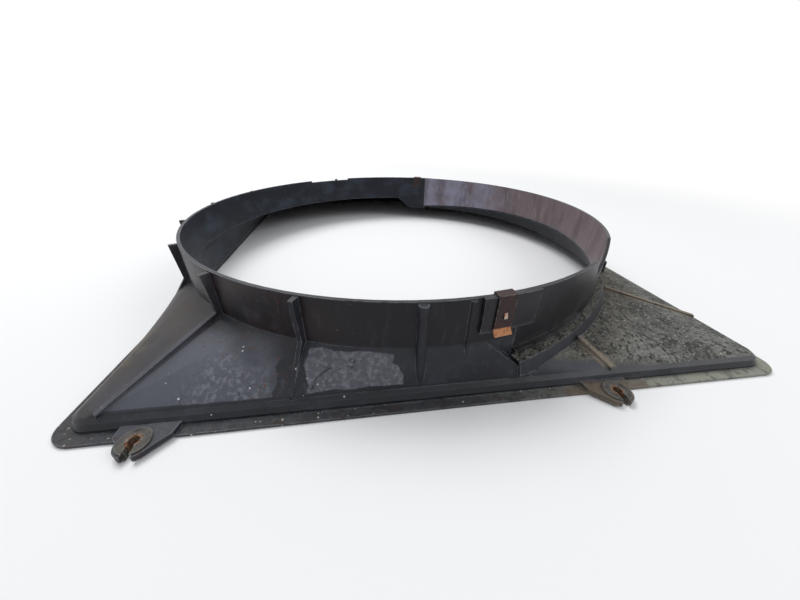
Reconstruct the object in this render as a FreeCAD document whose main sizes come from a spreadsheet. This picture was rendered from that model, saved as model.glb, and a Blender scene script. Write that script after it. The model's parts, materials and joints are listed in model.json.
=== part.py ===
import FreeCAD, Part
import math
import os

import Sketcher
from FreeCAD import Placement, Rotation, Vector

# Radiator fan shroud: a moulded plastic pan with a fan ring, hung on the radiator by four
# open eyes. A part of the ring lifts off to let the fan out, and two spring clips hold it.
# Frame: origin in the middle of the radiator face, +Z towards the fan, millimetres.
# Angles are in degrees about the fan axis: 0 is +X, counted towards +Y.

SIZES = {
    # fan ring
    "ring_radius": 350,
    "ring_wall": 4,
    "rim_height": 114,
    "relief_start_angle": 106,
    "relief_angle": 17,
    "relief_depth": 3.5,
    # how far the pan reaches past the ring on its four sides
    "margin_left": 12,
    "margin_right": 68,
    "margin_near": 26,
    "margin_far": 214,
    # pan outline and skin
    "outline_corner": 24,
    "flange_thickness": 3,
    "flange_reach": 10,
    "skin": 3,
    "wall_corner": 22,
    "shoulder_height": 16,
    "shoulder_inset": 12,
    # the high dome and the low plateau that the ring stands on
    "dome_height": 60.5,
    "plateau_drop": 1.6,
    "step_start": 49,
    "step_run": 35,
    "corner_spread_angle": 12,
    # raised collar that carries the loose ring segment, with a sloping seat
    "seat_height": 27,
    "seat_angle": 5.1,
    "collar_root": 20,
    "collar_spare": 6,
    "collar_foot_reach": 21,
    "collar_top_reach": 4.5,
    # loose ring segment
    "segment_start_angle": -76,
    "segment_span_angle": 145,
    "tongue_angle": 7.6,
    "tongue_root_angle": 3,
    "tongue_height": 40,
    "tongue_thickness": 3,
    "ledge_angle": 18.5,
    "ledge_reach": 6,
    "ledge_rise": 6,
    "ledge_thickness": 3,
    "notch_angle": -50.4,
    "notch_depth": 28,
    "notch_short_run": 25,
    "notch_long_run": 90,
    # stiffening ribs on the fixed ring and the dome
    "rib_first_angle": -93,
    "rib_step_angle": 19.5,
    "rib_count": 10,
    "rib_thickness": 5,
    "rib_top_reach": 10,
    "rib_elbow_reach": 7,
    "rib_crest": 4,
    "rib_rim_drop": 1.5,
    "post_radius": 5,
    "bead_radius": 3,
    "bead_angle": 1.6,
    # ribs and small fittings on the plateau
    "plateau_rib_angle": 31,
    "plateau_rib_step_angle": 26,
    "plateau_rib_thickness": 6,
    "plateau_rib_crest": 3,
    "knob_radius": 5,
    "knob_height": 9,
    "stop_angle": -22,
    "stop_length": 18,
    "stop_width": 12,
    "stop_height": 16,
    # mounting eyes
    "eye_left_inset": 84,
    "eye_right_inset": 227,
    "eye_overhang": 6,
    "eye_radius": 16,
    "eye_bore": 11,
    "eye_slot": 9,
    "lug_bottom": 2,
    "lug_thickness": 6,
    "lug_short_side": 22,
    "lug_long_side": 31,
    # rubber grommets and split steel sleeves in the eyes
    "grommet_collar": 13.5,
    "grommet_lip": 1.6,
    "grommet_slot": 7,
    "sleeve_radius": 6.7,
    "sleeve_bore": 4.5,
    "sleeve_length": 10,
    "sleeve_slot": 5.5,
    # spring clips
    "clip_sheet": 1.2,
    "clip_breadth": 20,
    "clip_outer_leg": 38,
    "clip_inner_leg": 22,
    "clip_lip_drop": 5,
    "clip_lip_flare": 4,
    "clip_window": 6,
    "clip_window_drop": 22,
    "clip_angle": 3.8,
    # clearances
    "fit_gap": 0.3,
    "clip_gap": 0.6,
}

# Sizes that follow from the driving ones. The ring sets the pan, and the sloping seat of the
# loose segment sets the collar and keeps the plateau just under its lower end.
DERIVED = {
    "panel_length": "2 * ring_radius + margin_left + margin_right",
    "panel_width": "2 * ring_radius + margin_near + margin_far",
    "ring_x": "(margin_left - margin_right) / 2",
    "ring_y": "(margin_near - margin_far) / 2",
    "segment_end_angle": "segment_start_angle + segment_span_angle",
    "seat_rise": "tan(seat_angle * 1 deg)",
    "plateau_height": "seat_height - plateau_drop + seat_rise * ring_radius"
                      " * min(cos(segment_start_angle * 1 deg); cos(segment_end_angle * 1 deg))",
    "collar_top": "seat_height + seat_rise * ring_radius + collar_spare",
    "collar_foot_radius": "ring_radius + collar_foot_reach",
    "collar_top_radius": "ring_radius + collar_top_reach",
    "eye_left": "eye_left_inset - panel_length / 2",
    "eye_right": "panel_length / 2 - eye_right_inset",
}

OVERRUN = 2.0                       # how far a cutting shape runs past what it cuts
NEARLY_ZERO = 0.01                  # a direction this square to a side never reaches it
SHOULDER_TURNS = (0, 25, 50, 75)    # where the rounded shoulder of the wall is sectioned

doc = FreeCAD.newDocument("radiator_fan_shroud")
sheet = doc.addObject("Spreadsheet::Sheet", "Sizes")
for row, (alias, number) in enumerate(SIZES.items(), start=1):
    sheet.set("A%d" % row, alias)
    sheet.set("B%d" % row, str(number))
    sheet.setAlias("B%d" % row, alias)
doc.recompute()


def size(alias):
    """Read one driving dimension from the sheet."""
    return float(sheet.get(alias))


def cells(text):
    """Turn an expression with bare size names into one that reads them from the sheet."""
    words = []
    word = ""
    for letter in text + " ":
        if letter.isalnum() or letter == "_":
            word += letter
            continue
        if word in DERIVED:
            word = "(%s)" % cells(DERIVED[word])
        words.append("Sizes." + word if word in SIZES else word)
        words.append(letter)
        word = ""
    return "".join(words).strip()


def bind(thing, path, text):
    """Tie a property or a constraint of an object to the sheet."""
    thing.setExpression(path, cells(text))


def make(kind, name, **ties):
    """Add a document object and tie its properties to the sheet."""
    thing = doc.addObject(kind, name)
    for path, text in ties.items():
        bind(thing, path, text)
    return thing


def stand(thing, x="ring_x", y="ring_y", z="0", turn="0"):
    """Place an object at a point given by sizes, turned about +Z."""
    bind(thing, "Placement.Base.x", x)
    bind(thing, "Placement.Base.y", y)
    bind(thing, "Placement.Base.z", z)
    thing.Placement.Rotation = Rotation(Vector(0, 0, 1), 1)
    bind(thing, "Placement.Rotation.Angle", "(%s) * 1 deg" % turn)
    return thing


def fuse(name, parts):
    """Join shapes that belong to one moulding."""
    joined = doc.addObject("Part::MultiFuse", name)
    joined.Shapes = parts
    return joined


def cut(name, base, tool):
    """Take a tool away from a base."""
    result = doc.addObject("Part::Cut", name)
    result.Base, result.Tool = base, tool
    return result


def common(name, first, second):
    """Keep what two shapes share."""
    result = doc.addObject("Part::MultiCommon", name)
    result.Shapes = [first, second]
    return result


def cylinder(name, radius, bottom, height, start="0", span="360"):
    """A disc or a pie slice about the fan axis."""
    disc = make("Part::Cylinder", name, Radius=radius, Height=height, Angle=span)
    return stand(disc, z=bottom, turn=start)


def arc_wall(name, inner, outer, bottom, height, start, span):
    """A wall of the ring: a pie slice with its middle taken out."""
    whole = cylinder(name + "_outside", outer, bottom, height, start, span)
    middle = cylinder(name + "_inside", inner, bottom + " - 1", height + " + 2")
    return cut(name, whole, middle)


def tie_corner(sketch, edge, end, x, y):
    """Fix one corner of a sketch at a point given by sizes."""
    for kind, text in (("DistanceX", x), ("DistanceY", y)):
        place = sketch.addConstraint(Sketcher.Constraint(kind, -1, 1, edge, end, 1.0))
        bind(sketch, "Constraints[%d]" % place, text)


def draw_outline(sketch, corners):
    """Draw a closed outline of straight edges whose corners are given by sizes."""
    count = len(corners)
    spots = [Vector(math.cos(2 * math.pi * k / count), math.sin(2 * math.pi * k / count), 0)
             for k in range(count)]
    for k in range(count):
        sketch.addGeometry(Part.LineSegment(spots[k], spots[(k + 1) % count]), False)
    for k in range(count):
        sketch.addConstraint(Sketcher.Constraint("Coincident", k, 2, (k + 1) % count, 1))
        tie_corner(sketch, k, 1, *corners[k])
    return sketch


# ---------------------------------------------------------------- sections of the pan

def rounded_section(name, inset, height, corner):
    """A rounded rectangle inside the pan's outline: four sides and four corner arcs."""
    sketch = stand(doc.addObject("Sketcher::SketchObject", name), "0", "0", height)
    half_x = size("ring_radius") + (size("margin_left") + size("margin_right")) / 2 - size("flange_reach")
    half_y = size("ring_radius") + (size("margin_near") + size("margin_far")) / 2 - size("flange_reach")
    rounding = size("wall_corner")
    middles = [(1, -1), (1, 1), (-1, 1), (-1, -1)]
    for k, (side_x, side_y) in enumerate(middles):
        before, after = math.radians(90 * k - 90), math.radians(90 * k)
        centre = Vector(side_x * (half_x - rounding), side_y * (half_y - rounding), 0)
        last_x, last_y = middles[k - 1]
        start = Vector(last_x * (half_x - rounding), last_y * (half_y - rounding), 0)
        out = Vector(math.cos(before), math.sin(before), 0) * rounding
        sketch.addGeometry(Part.LineSegment(start + out, centre + out), False)
        circle = Part.Circle(centre, Vector(0, 0, 1), rounding)
        sketch.addGeometry(Part.ArcOfCircle(circle, before, after), False)
    for k in range(8):
        sketch.addConstraint(Sketcher.Constraint("Tangent", k, 2, (k + 1) % 8, 1))
    for side, direction in zip((0, 2, 4, 6), ("Horizontal", "Vertical") * 2):
        sketch.addConstraint(Sketcher.Constraint(direction, side))
    for arc in (3, 5, 7):
        sketch.addConstraint(Sketcher.Constraint("Equal", 1, arc))
    place = sketch.addConstraint(Sketcher.Constraint("Radius", 1, rounding))
    bind(sketch, "Constraints[%d]" % place, corner)
    sides = ((0, "DistanceY", -half_y, "-(panel_width / 2 - (%s))"),
             (2, "DistanceX", half_x, "panel_length / 2 - (%s)"),
             (4, "DistanceY", half_y, "panel_width / 2 - (%s)"),
             (6, "DistanceX", -half_x, "-(panel_length / 2 - (%s))"))
    for side, kind, start, text in sides:
        place = sketch.addConstraint(Sketcher.Constraint(kind, -1, 1, side, 1, start))
        bind(sketch, "Constraints[%d]" % place, text % inset)
    return sketch


def ring_section(name, radius, height):
    """A circle about the fan axis, in eight arcs that face the sides and corners of the pan."""
    sketch = stand(doc.addObject("Sketcher::SketchObject", name), z=height)
    breaks = []
    for way_x, side_x, way_y, side_y in ((-1, "left", -1, "near"), (1, "right", -1, "near"),
                                         (1, "right", 1, "far"), (-1, "left", 1, "far")):
        run_x, run_y = ("%d * (ring_radius + margin_%s)" % pair
                        for pair in ((way_x, side_x), (way_y, side_y)))
        across = math.atan2(way_y * (size("ring_radius") + size("margin_" + side_y)),
                            way_x * (size("ring_radius") + size("margin_" + side_x)))
        for way in (-1, 1):
            spread = math.radians(way * size("corner_spread_angle"))
            turn = "atan2(%s; %s) + %d * corner_spread_angle * 1 deg" % (run_y, run_x, way)
            breaks.append((across + spread, turn))
    breaks = breaks[1:] + breaks[:1]
    start_radius = size("ring_radius")
    for k, (angle, _) in enumerate(breaks):
        following = breaks[(k + 1) % 8][0]
        if following < angle:
            following += 2 * math.pi
        circle = Part.Circle(Vector(0, 0, 0), Vector(0, 0, 1), start_radius)
        sketch.addGeometry(Part.ArcOfCircle(circle, angle, following), False)
    for k in range(8):
        sketch.addConstraint(Sketcher.Constraint("Coincident", k, 3, -1, 1))
    for k in range(7):
        sketch.addConstraint(Sketcher.Constraint("Coincident", k, 2, k + 1, 1))
    place = sketch.addConstraint(Sketcher.Constraint("Radius", 0, start_radius))
    bind(sketch, "Constraints[%d]" % place, radius)
    for k, end in [(k, 1) for k in range(8)] + [(7, 2)]:
        angle, text = breaks[k] if end == 1 else breaks[0]
        place = sketch.addConstraint(
            Sketcher.Constraint("DistanceX", -1, 1, k, end, start_radius * math.cos(angle)))
        bind(sketch, "Constraints[%d]" % place, "(%s) * cos(%s)" % (radius, text))
    return sketch


def lofted(name, sections):
    """A solid with straight rulings from section to section."""
    form = doc.addObject("Part::Loft", name)
    form.Sections, form.Solid, form.Ruled = sections, True, True
    return form


def tray_sections(name, depth):
    """Sections of the wall's foot and rounded shoulder, at a depth under its outer face."""
    sections = []
    for k, turn in enumerate(SHOULDER_TURNS):
        lean = "shoulder_inset * (1 - cos(%d deg)) + (%s) * cos(%d deg)" % (turn, depth, turn)
        height = "(shoulder_height - (%s)) * sin(%d deg)" % (depth, turn)
        if k == 0:
            height = "-%g * (%s) / skin" % (OVERRUN, depth)
        sections.append(rounded_section("%s_section_%d" % (name, k), "flange_reach + " + lean,
                                        height, "wall_corner - (%s)" % lean))
    return sections


def sloping_block(name, slope, x, z, sink):
    """A big block whose flat top passes through a point and slopes down towards +X."""
    block = make("Part::Box", name, Length="2 * panel_length", Width="2 * panel_width",
                 Height="panel_length")
    block.Placement.Rotation = Rotation(Vector(0, 1, 0), 1)
    bind(block, "Placement.Rotation.Angle", "(%s) * 1 deg" % slope)
    lean = "(%s) * 1 deg" % slope
    bind(block, "Placement.Base.x", "%s - panel_length * cos(%s) - (panel_length + %s) * sin(%s)"
         % (x, lean, sink, lean))
    bind(block, "Placement.Base.y", "-panel_width")
    bind(block, "Placement.Base.z", "%s + panel_length * sin(%s) - (panel_length + %s) * cos(%s)"
         % (z, lean, sink, lean))
    return block


STEP_SLOPE = "atan((dome_height - plateau_height) / step_run) / 1 deg"
SHOULDER_TOP = "shoulder_height * sin(%d deg)" % SHOULDER_TURNS[-1]
SHOULDER_LINE = "(flange_reach + shoulder_inset * (1 - cos(%d deg)))" % SHOULDER_TURNS[-1]


def pan_form(name, depth):
    """Tray, dome, step, plateau and collar as one solid, at a depth under the outer face."""
    sections = tray_sections(name, depth)
    parts = [lofted(name + "_tray", sections)]
    for side, ring_height in (("dome", "dome_height"), ("plateau", "plateau_height")):
        ring = ring_section("%s_%s_ring" % (name, side), "ring_radius - (%s)" % depth,
                            "%s - (%s)" % (ring_height, depth))
        whole = lofted("%s_whole_%s" % (name, side), [sections[-1], ring])
        if side == "dome":
            region = sloping_block(name + "_high_side", STEP_SLOPE, "ring_x + step_start",
                                   "dome_height", depth)
        else:
            region = make("Part::Box", name + "_low_side", Length="panel_length",
                          Width="2 * panel_width", Height="rim_height")
            stand(region, y="-panel_width")
        parts.append(common("%s_%s" % (name, side), whole, region))
    collar = make("Part::Cone", name + "_collar_cone", Radius1="collar_foot_radius - (%s)" % depth,
                  Radius2="collar_top_radius - (%s)" % depth, Height="collar_top - collar_root",
                  Angle="segment_span_angle")
    stand(collar, z="collar_root", turn="segment_start_angle")
    under_seat = sloping_block(name + "_under_seat", "-seat_angle", "ring_x", "seat_height", depth)
    parts.append(common(name + "_collar", collar, under_seat))
    return fuse(name, parts)


# ---------------------------------------------------------------- ribs of the pan

def reach_to_shoulder(angle):
    """How far the shoulder line lies from the fan axis in a direction, as an expression."""
    across, along = math.cos(math.radians(angle)), math.sin(math.radians(angle))
    sides = [("right" if across > 0 else "left", across), ("far" if along > 0 else "near", along)]
    reaches = ["(ring_radius + margin_%s - %s) / %.9f" % (side, SHOULDER_LINE, abs(part))
               for side, part in sides if abs(part) > NEARLY_ZERO]
    return "min(%s)" % "; ".join(reaches)


def radial_rib(name, angle, thickness, corners):
    """A flat rib that stands in a plane through the fan axis, from corners (radius, height)."""
    sketch = doc.addObject("Sketcher::SketchObject", name + "_outline")
    draw_outline(sketch, corners)
    rib = make("Part::Extrusion", name, LengthFwd=thickness)
    rib.Base = sketch
    rib.DirMode = "Custom"
    rib.Dir = Vector(0, 0, 1)
    rib.Symmetric = True
    rib.Solid = True
    upright = Rotation(Vector(1, 0, 0), 90)
    rib.Placement = Placement(Vector(0, 0, 0), Rotation(Vector(0, 0, 1), angle) * upright)
    bind(rib, "Placement.Base.x", "ring_x")
    bind(rib, "Placement.Base.y", "ring_y")
    return rib


def ring_ribs():
    """A round post at the near side, then fins down the fixed ring and out over the dome."""
    post = make("Part::Cylinder", "rib_post", Radius="post_radius",
                Height="rim_height - rib_rim_drop - flange_thickness / 2")
    stand(post, "ring_x + (ring_radius + post_radius / 2) * cos(rib_first_angle * 1 deg)",
          "ring_y + (ring_radius + post_radius / 2) * sin(rib_first_angle * 1 deg)", "flange_thickness / 2")
    ribs = [post]
    for k in range(1, int(size("rib_count"))):
        angle = size("rib_first_angle") - k * size("rib_step_angle")
        end = "max(%s; ring_radius + rib_elbow_reach)" % reach_to_shoulder(angle)
        ribs.append(radial_rib("rib_%d" % k, angle, "rib_thickness", [
            ("ring_radius - ring_wall / 2", "rim_height - rib_rim_drop"),
            ("ring_radius + rib_top_reach", "rim_height - rib_rim_drop"),
            ("ring_radius + rib_elbow_reach", "dome_height + rib_crest"),
            (end, SHOULDER_TOP + " + rib_crest"),
            (end + " + rib_crest", "flange_thickness / 2"),
            ("ring_radius - ring_wall / 2", "flange_thickness / 2")]))
    return ribs


def plateau_ribs():
    """Low ribs from the collar out over the plateau, alike on both sides of the segment."""
    ribs = []
    middle = size("segment_start_angle") + size("segment_span_angle") / 2
    for side in (-1, 1):
        for k in range(2):
            angle = middle + side * (size("plateau_rib_angle") + k * size("plateau_rib_step_angle"))
            end = reach_to_shoulder(angle)
            ribs.append(radial_rib("plateau_rib_%d" % (len(ribs) + 1), angle, "plateau_rib_thickness", [
                ("collar_foot_radius - skin", "plateau_height + plateau_rib_crest"),
                (end, SHOULDER_TOP + " + plateau_rib_crest"),
                (end + " + plateau_rib_crest", "flange_thickness / 2"),
                ("collar_foot_radius - skin", "flange_thickness / 2")]))
    return ribs


def end_beads():
    """Half-round beads that stop the tongues of the loose segment."""
    beads = []
    ends = (("start", "segment_start_angle - tongue_angle - bead_angle"),
            ("end", "segment_end_angle + tongue_angle + bead_angle"))
    for name, angle in ends:
        bead = make("Part::Cylinder", "bead_" + name, Radius="bead_radius",
                    Height="rim_height - rib_rim_drop - plateau_height")
        stand(bead, "ring_x + ring_radius * cos((%s) * 1 deg)" % angle,
              "ring_y + ring_radius * sin((%s) * 1 deg)" % angle, "plateau_height")
        beads.append(bead)
    return beads


# ---------------------------------------------------------------- mounting eyes

EYES = {"near_left": (-1, -1), "near_right": (1, -1), "far_left": (-1, 1), "far_right": (1, 1)}


def eye_place(corner):
    """The middle of one mounting eye, as two expressions."""
    side_x, side_y = EYES[corner]
    return ("eye_left" if side_x < 0 else "eye_right",
            "%d * (panel_width / 2 + eye_overhang)" % side_y)


def mounting_lug(corner):
    """A thick lug on the flange that ends in a round eye; its long flank faces the middle."""
    x, y = eye_place(corner)
    side_x, side_y = EYES[corner]
    outline = doc.addObject("Sketcher::SketchObject", "lug_outline_" + corner)
    inward = "eye_overhang + flange_reach + shoulder_inset / 2"
    corners = [("lug_short_side", inward), ("lug_short_side", "eye_overhang"),
               ("eye_radius", "0"), ("eye_radius * sin(35 deg)", "-eye_radius * cos(35 deg)"),
               ("-eye_radius * sin(35 deg)", "-eye_radius * cos(35 deg)"),
               ("-lug_long_side * 0.9", "eye_overhang"), ("-lug_long_side", inward)]
    draw_outline(outline, [("%s + %d * (%s)" % (x, side_x, across), "%s - %d * (%s)" % (y, side_y, out))
                           for across, out in corners])
    stand(outline, "0", "0", "lug_bottom")
    plate = make("Part::Extrusion", "lug_plate_" + corner, LengthFwd="lug_thickness")
    plate.Base = outline
    plate.DirMode = "Custom"
    plate.Dir = Vector(0, 0, 1)
    plate.Solid = True
    eye = make("Part::Cylinder", "eye_" + corner, Radius="eye_radius", Height="lug_thickness")
    return fuse("lug_" + corner, [plate, stand(eye, x, y, "lug_bottom")])


def eye_cutter(corner):
    """The hole of one eye, its mouth away from the pan and the seat of the lower collar."""
    x, y = eye_place(corner)
    side_y = EYES[corner][1]
    hole = make("Part::Cylinder", "eye_hole_" + corner, Radius="eye_bore",
                Height="lug_thickness + 2 * lug_bottom")
    mouth = make("Part::Box", "eye_mouth_" + corner, Length="eye_slot", Width="2 * eye_radius",
                 Height="lug_thickness + 2 * lug_bottom")
    seat = make("Part::Cylinder", "collar_seat_" + corner, Radius="grommet_collar + fit_gap",
                Height="lug_bottom + %g" % OVERRUN)
    stand(seat, x, y, "-%g" % OVERRUN)
    stand(hole, x, y, "0")
    stand(mouth, "%s - eye_slot / 2" % x, y if side_y > 0 else "%s - 2 * eye_radius" % y, "0")
    return fuse("eye_cutter_" + corner, [hole, mouth, seat])


# ---------------------------------------------------------------- the moulded pan

def build_panel():
    """The pan with its fixed ring, ribs, plateau fittings and mounting lugs."""
    flange_outline = rounded_section("flange_outline", "0", "0", "outline_corner")
    flange = make("Part::Extrusion", "flange", LengthFwd="flange_thickness")
    flange.Base = flange_outline
    flange.DirMode = "Custom"
    flange.Dir = Vector(0, 0, 1)
    flange.Solid = True
    fixed_ring = cylinder("fixed_ring", "ring_radius", "0", "rim_height",
                          "segment_end_angle", "360 - segment_span_angle")
    knob = make("Part::Cylinder", "knob", Radius="knob_radius", Height="knob_height")
    knob_angle = "(segment_end_angle / 2 - plateau_rib_angle) * 1 deg"
    stand(knob, "panel_length / 2 - %s - knob_radius" % SHOULDER_LINE,
          "ring_y + (panel_length / 2 - ring_x - %s - knob_radius) * tan(%s)" % (SHOULDER_LINE, knob_angle),
          SHOULDER_TOP)
    stop = make("Part::Box", "stop_block", Length="stop_width", Width="stop_length",
                Height="stop_height + 2 * skin")
    stand(stop, "ring_x + collar_foot_radius * cos(stop_angle * 1 deg)",
          "ring_y + collar_foot_radius * sin(stop_angle * 1 deg)", "plateau_height - 3 * skin",
          "stop_angle")
    outside = pan_form("outside", "0")
    solid = fuse("solid_pan", [flange, outside, fixed_ring, knob, stop] + ring_ribs() + plateau_ribs()
                 + end_beads() + [mounting_lug(corner) for corner in EYES])
    fan_hole = cylinder("fan_hole", "ring_radius - ring_wall", "-%g" % OVERRUN,
                        "rim_height + %g" % (2 * OVERRUN))
    relief = cylinder("rim_relief", "ring_radius + ring_wall", "rim_height - relief_depth",
                      "relief_depth + %g" % OVERRUN, "relief_start_angle", "relief_angle")
    hollow = fuse("hollow", [pan_form("inside", "skin"), fan_hole, relief]
                  + [eye_cutter(corner) for corner in EYES])
    return cut("shroud_panel", solid, hollow)


# ---------------------------------------------------------------- the loose ring segment

GAP_ANGLE = "(fit_gap / ring_radius * 180 / pi)"


def build_segment():
    """The lift-off part of the ring: wall, end tongues, foot ledges and the open notch."""
    start, end = "segment_start_angle", "segment_end_angle"
    wall = arc_wall("segment_wall", "ring_radius - ring_wall", "ring_radius", "0", "rim_height",
                    "%s + %s" % (start, GAP_ANGLE), "segment_span_angle - 2 * " + GAP_ANGLE)
    pieces = [wall]
    tongue_inner = "ring_radius + fit_gap"
    tongue_outer = tongue_inner + " + tongue_thickness"
    tongue_bottom = "rim_height - tongue_height"
    pieces.append(arc_wall("tongue_start", tongue_inner, tongue_outer, tongue_bottom, "tongue_height",
                           start + " - tongue_angle", "tongue_angle + tongue_root_angle"))
    pieces.append(arc_wall("tongue_end", tongue_inner, tongue_outer, tongue_bottom, "tongue_height",
                           end + " - tongue_root_angle", "tongue_angle + tongue_root_angle"))
    root_inner = "ring_radius - ring_wall / 2"
    pieces.append(arc_wall("tongue_root_start", root_inner, tongue_outer, tongue_bottom, "tongue_height",
                           "%s + %s" % (start, GAP_ANGLE), "tongue_root_angle - " + GAP_ANGLE))
    pieces.append(arc_wall("tongue_root_end", root_inner, tongue_outer, tongue_bottom, "tongue_height",
                           end + " - tongue_root_angle", "tongue_root_angle - " + GAP_ANGLE))
    over_ledge = sloping_block("over_ledge", "-seat_angle", "ring_x", "seat_height",
                               "-(ledge_rise + ledge_thickness)")
    under_ledge = sloping_block("under_ledge", "-seat_angle", "ring_x", "seat_height", "-ledge_rise")
    ledges = []
    for name, first in (("start", "%s + %s" % (start, GAP_ANGLE)), ("end", end + " - ledge_angle")):
        ledges.append(arc_wall("ledge_" + name, root_inner, "ring_radius + ledge_reach", "0",
                               "rim_height / 2 + ring_wall", first, "ledge_angle - " + GAP_ANGLE))
    lifted = cut("ledges", common("ledge_tops", fuse("ledge_walls", ledges), over_ledge), under_ledge)
    whole = fuse("whole_segment", pieces + [lifted])
    seat = sloping_block("seat_cutter", "-seat_angle", "ring_x", "seat_height", "-fit_gap")
    outline = draw_outline(doc.addObject("Sketcher::SketchObject", "notch_outline"), [
        ("0", "rim_height - notch_depth"), ("notch_long_run", "rim_height + %g" % OVERRUN),
        ("-notch_short_run", "rim_height + %g" % OVERRUN)])
    notch = make("Part::Extrusion", "notch", LengthFwd="ring_radius * 1.2")
    notch.Base = outline
    notch.DirMode = "Custom"
    notch.Dir = Vector(0, 0, 1)
    notch.Solid = True
    upright = Rotation(Vector(1, 0, 0), 90)
    turn = Rotation(Vector(0, 0, 1), size("notch_angle") + 90)
    notch.Placement = Placement(Vector(0, 0, 0), turn * upright)
    bind(notch, "Placement.Base.x", "ring_x")
    bind(notch, "Placement.Base.y", "ring_y")
    return cut("ring_segment", whole, fuse("segment_cutter", [seat, notch]))


# ---------------------------------------------------------------- small parts as bodies

def origin_plane(body, role):
    """One of a body's own reference planes."""
    return next(part for part in body.Origin.OriginFeatures if part.Role == role)


def body_sketch(body, name, role):
    """A sketch on one of the body's own reference planes."""
    sketch = body.newObject("Sketcher::SketchObject", name)
    sketch.AttachmentSupport = (origin_plane(body, role), [""])
    sketch.MapMode = "FlatFace"
    return sketch


def pocket_through(body, sketch, name):
    """Cut a sketch right through a body, both ways."""
    pocket = body.newObject("PartDesign::Pocket", name)
    pocket.Profile = sketch
    pocket.Type = "ThroughAll"
    pocket.Midplane = True
    body.Tip = pocket
    return pocket


def turned_ring(label, profile, slot, corner):
    """A turned ring in a mounting eye, split by a slot that faces away from the pan."""
    body = doc.addObject("PartDesign::Body", label)
    outline = draw_outline(body_sketch(body, label + "_profile", "XZ_Plane"), profile)
    turned = body.newObject("PartDesign::Revolution", label + "_turned")
    turned.Profile = outline
    turned.ReferenceAxis = (outline, ["V_Axis"])
    turned.Angle = 360
    body.Tip = turned
    mouth = draw_outline(body_sketch(body, label + "_mouth", "XY_Plane"), [
        ("-%s / 2" % slot, "0"), ("-%s / 2" % slot, "-2 * eye_radius"),
        ("%s / 2" % slot, "-2 * eye_radius"), ("%s / 2" % slot, "0")])
    pocket_through(body, mouth, label + "_slot")
    x, y = eye_place(corner)
    stand(body, x, y, "0", "0" if EYES[corner][1] < 0 else "180")
    return body


def build_grommet(corner):
    """Rubber spool that sits in the eye, with a collar above and below the lug."""
    hole = "sleeve_radius + fit_gap"
    neck = "eye_bore - fit_gap"
    low = "lug_bottom - fit_gap"
    high = "lug_bottom + lug_thickness + fit_gap"
    return turned_ring("grommet_" + corner, [
        (hole, "%s - grommet_lip" % low), ("grommet_collar", "%s - grommet_lip" % low),
        ("grommet_collar", low), (neck, low), (neck, high), ("grommet_collar", high),
        ("grommet_collar", high + " + grommet_lip"), (hole, high + " + grommet_lip")],
        "grommet_slot", corner)


def build_sleeve(corner):
    """Split steel sleeve that takes the clamping load of the mounting bolt."""
    return turned_ring("sleeve_" + corner, [
        ("sleeve_bore", "0"), ("sleeve_radius", "0"),
        ("sleeve_radius", "sleeve_length"), ("sleeve_bore", "sleeve_length")],
        "sleeve_slot", corner)


def build_clip(label, angle):
    """Spring clip bent over the rim: a short inner leg, a long outer leg and a flared lip."""
    body = doc.addObject("PartDesign::Body", label)
    inner = "-(ring_wall + clip_gap)"
    outer = "fit_gap + tongue_thickness + clip_gap"
    foot = "-clip_outer_leg"
    profile = draw_outline(body_sketch(body, label + "_profile", "XZ_Plane"), [
        (inner, "-clip_inner_leg"), (inner, "clip_gap"), (outer, "clip_gap"), (outer, foot),
        (outer + " + clip_lip_flare", foot + " - clip_lip_drop"),
        (outer + " + clip_lip_flare + clip_sheet", foot + " - clip_lip_drop + clip_sheet / 2"),
        (outer + " + clip_sheet", foot), (outer + " + clip_sheet", "clip_gap + clip_sheet"),
        (inner + " - clip_sheet", "clip_gap + clip_sheet"), (inner + " - clip_sheet", "-clip_inner_leg")])
    sheet_metal = body.newObject("PartDesign::Pad", label + "_sheet")
    sheet_metal.Profile = profile
    sheet_metal.Midplane = True
    bind(sheet_metal, "Length", "clip_breadth")
    body.Tip = sheet_metal
    half = "clip_window / 2"
    window = draw_outline(body_sketch(body, label + "_window_outline", "YZ_Plane"), [
        ("-" + half, "-clip_window_drop - " + half), (half, "-clip_window_drop - " + half),
        (half, "-clip_window_drop + " + half), ("-" + half, "-clip_window_drop + " + half)])
    pocket = body.newObject("PartDesign::Pocket", label + "_window")
    pocket.Profile = window
    pocket.Type = "ThroughAll"
    body.Tip = pocket
    stand(body, "ring_x + ring_radius * cos((%s) * 1 deg)" % angle,
          "ring_y + ring_radius * sin((%s) * 1 deg)" % angle, "rim_height", angle)
    return body


# ---------------------------------------------------------------- assembly and output

nodes = [build_panel(), build_segment()]
nodes.append(build_clip("clip_near", "segment_start_angle - clip_angle"))
nodes.append(build_clip("clip_far", "segment_end_angle + clip_angle"))
for corner in EYES:
    nodes.append(build_grommet(corner))
    nodes.append(build_sleeve(corner))
doc.recompute()

for thing in doc.Objects:
    if "Invalid" in thing.State or "Error" in thing.State:
        raise RuntimeError("%s failed: %s" % (thing.Name, thing.State))
for node in nodes:
    if node.Shape.isNull() or not node.Shape.isValid():
        raise RuntimeError("%s has no valid shape" % node.Label)
    print("%s: %d solid(s), %.1f cm3" % (node.Label, len(node.Shape.Solids), node.Shape.Volume / 1000))

os.makedirs("parts", exist_ok=True)
for node in nodes:
    node.Shape.exportStep("parts/%s.step" % node.Label)
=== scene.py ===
"""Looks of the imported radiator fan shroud: weathered moulded plastic, rubber and rusted steel."""

import json
import logging
import math
from dataclasses import dataclass
from enum import Enum
from typing import Any

import bmesh
import bpy
from mathutils import Matrix, Vector


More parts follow.
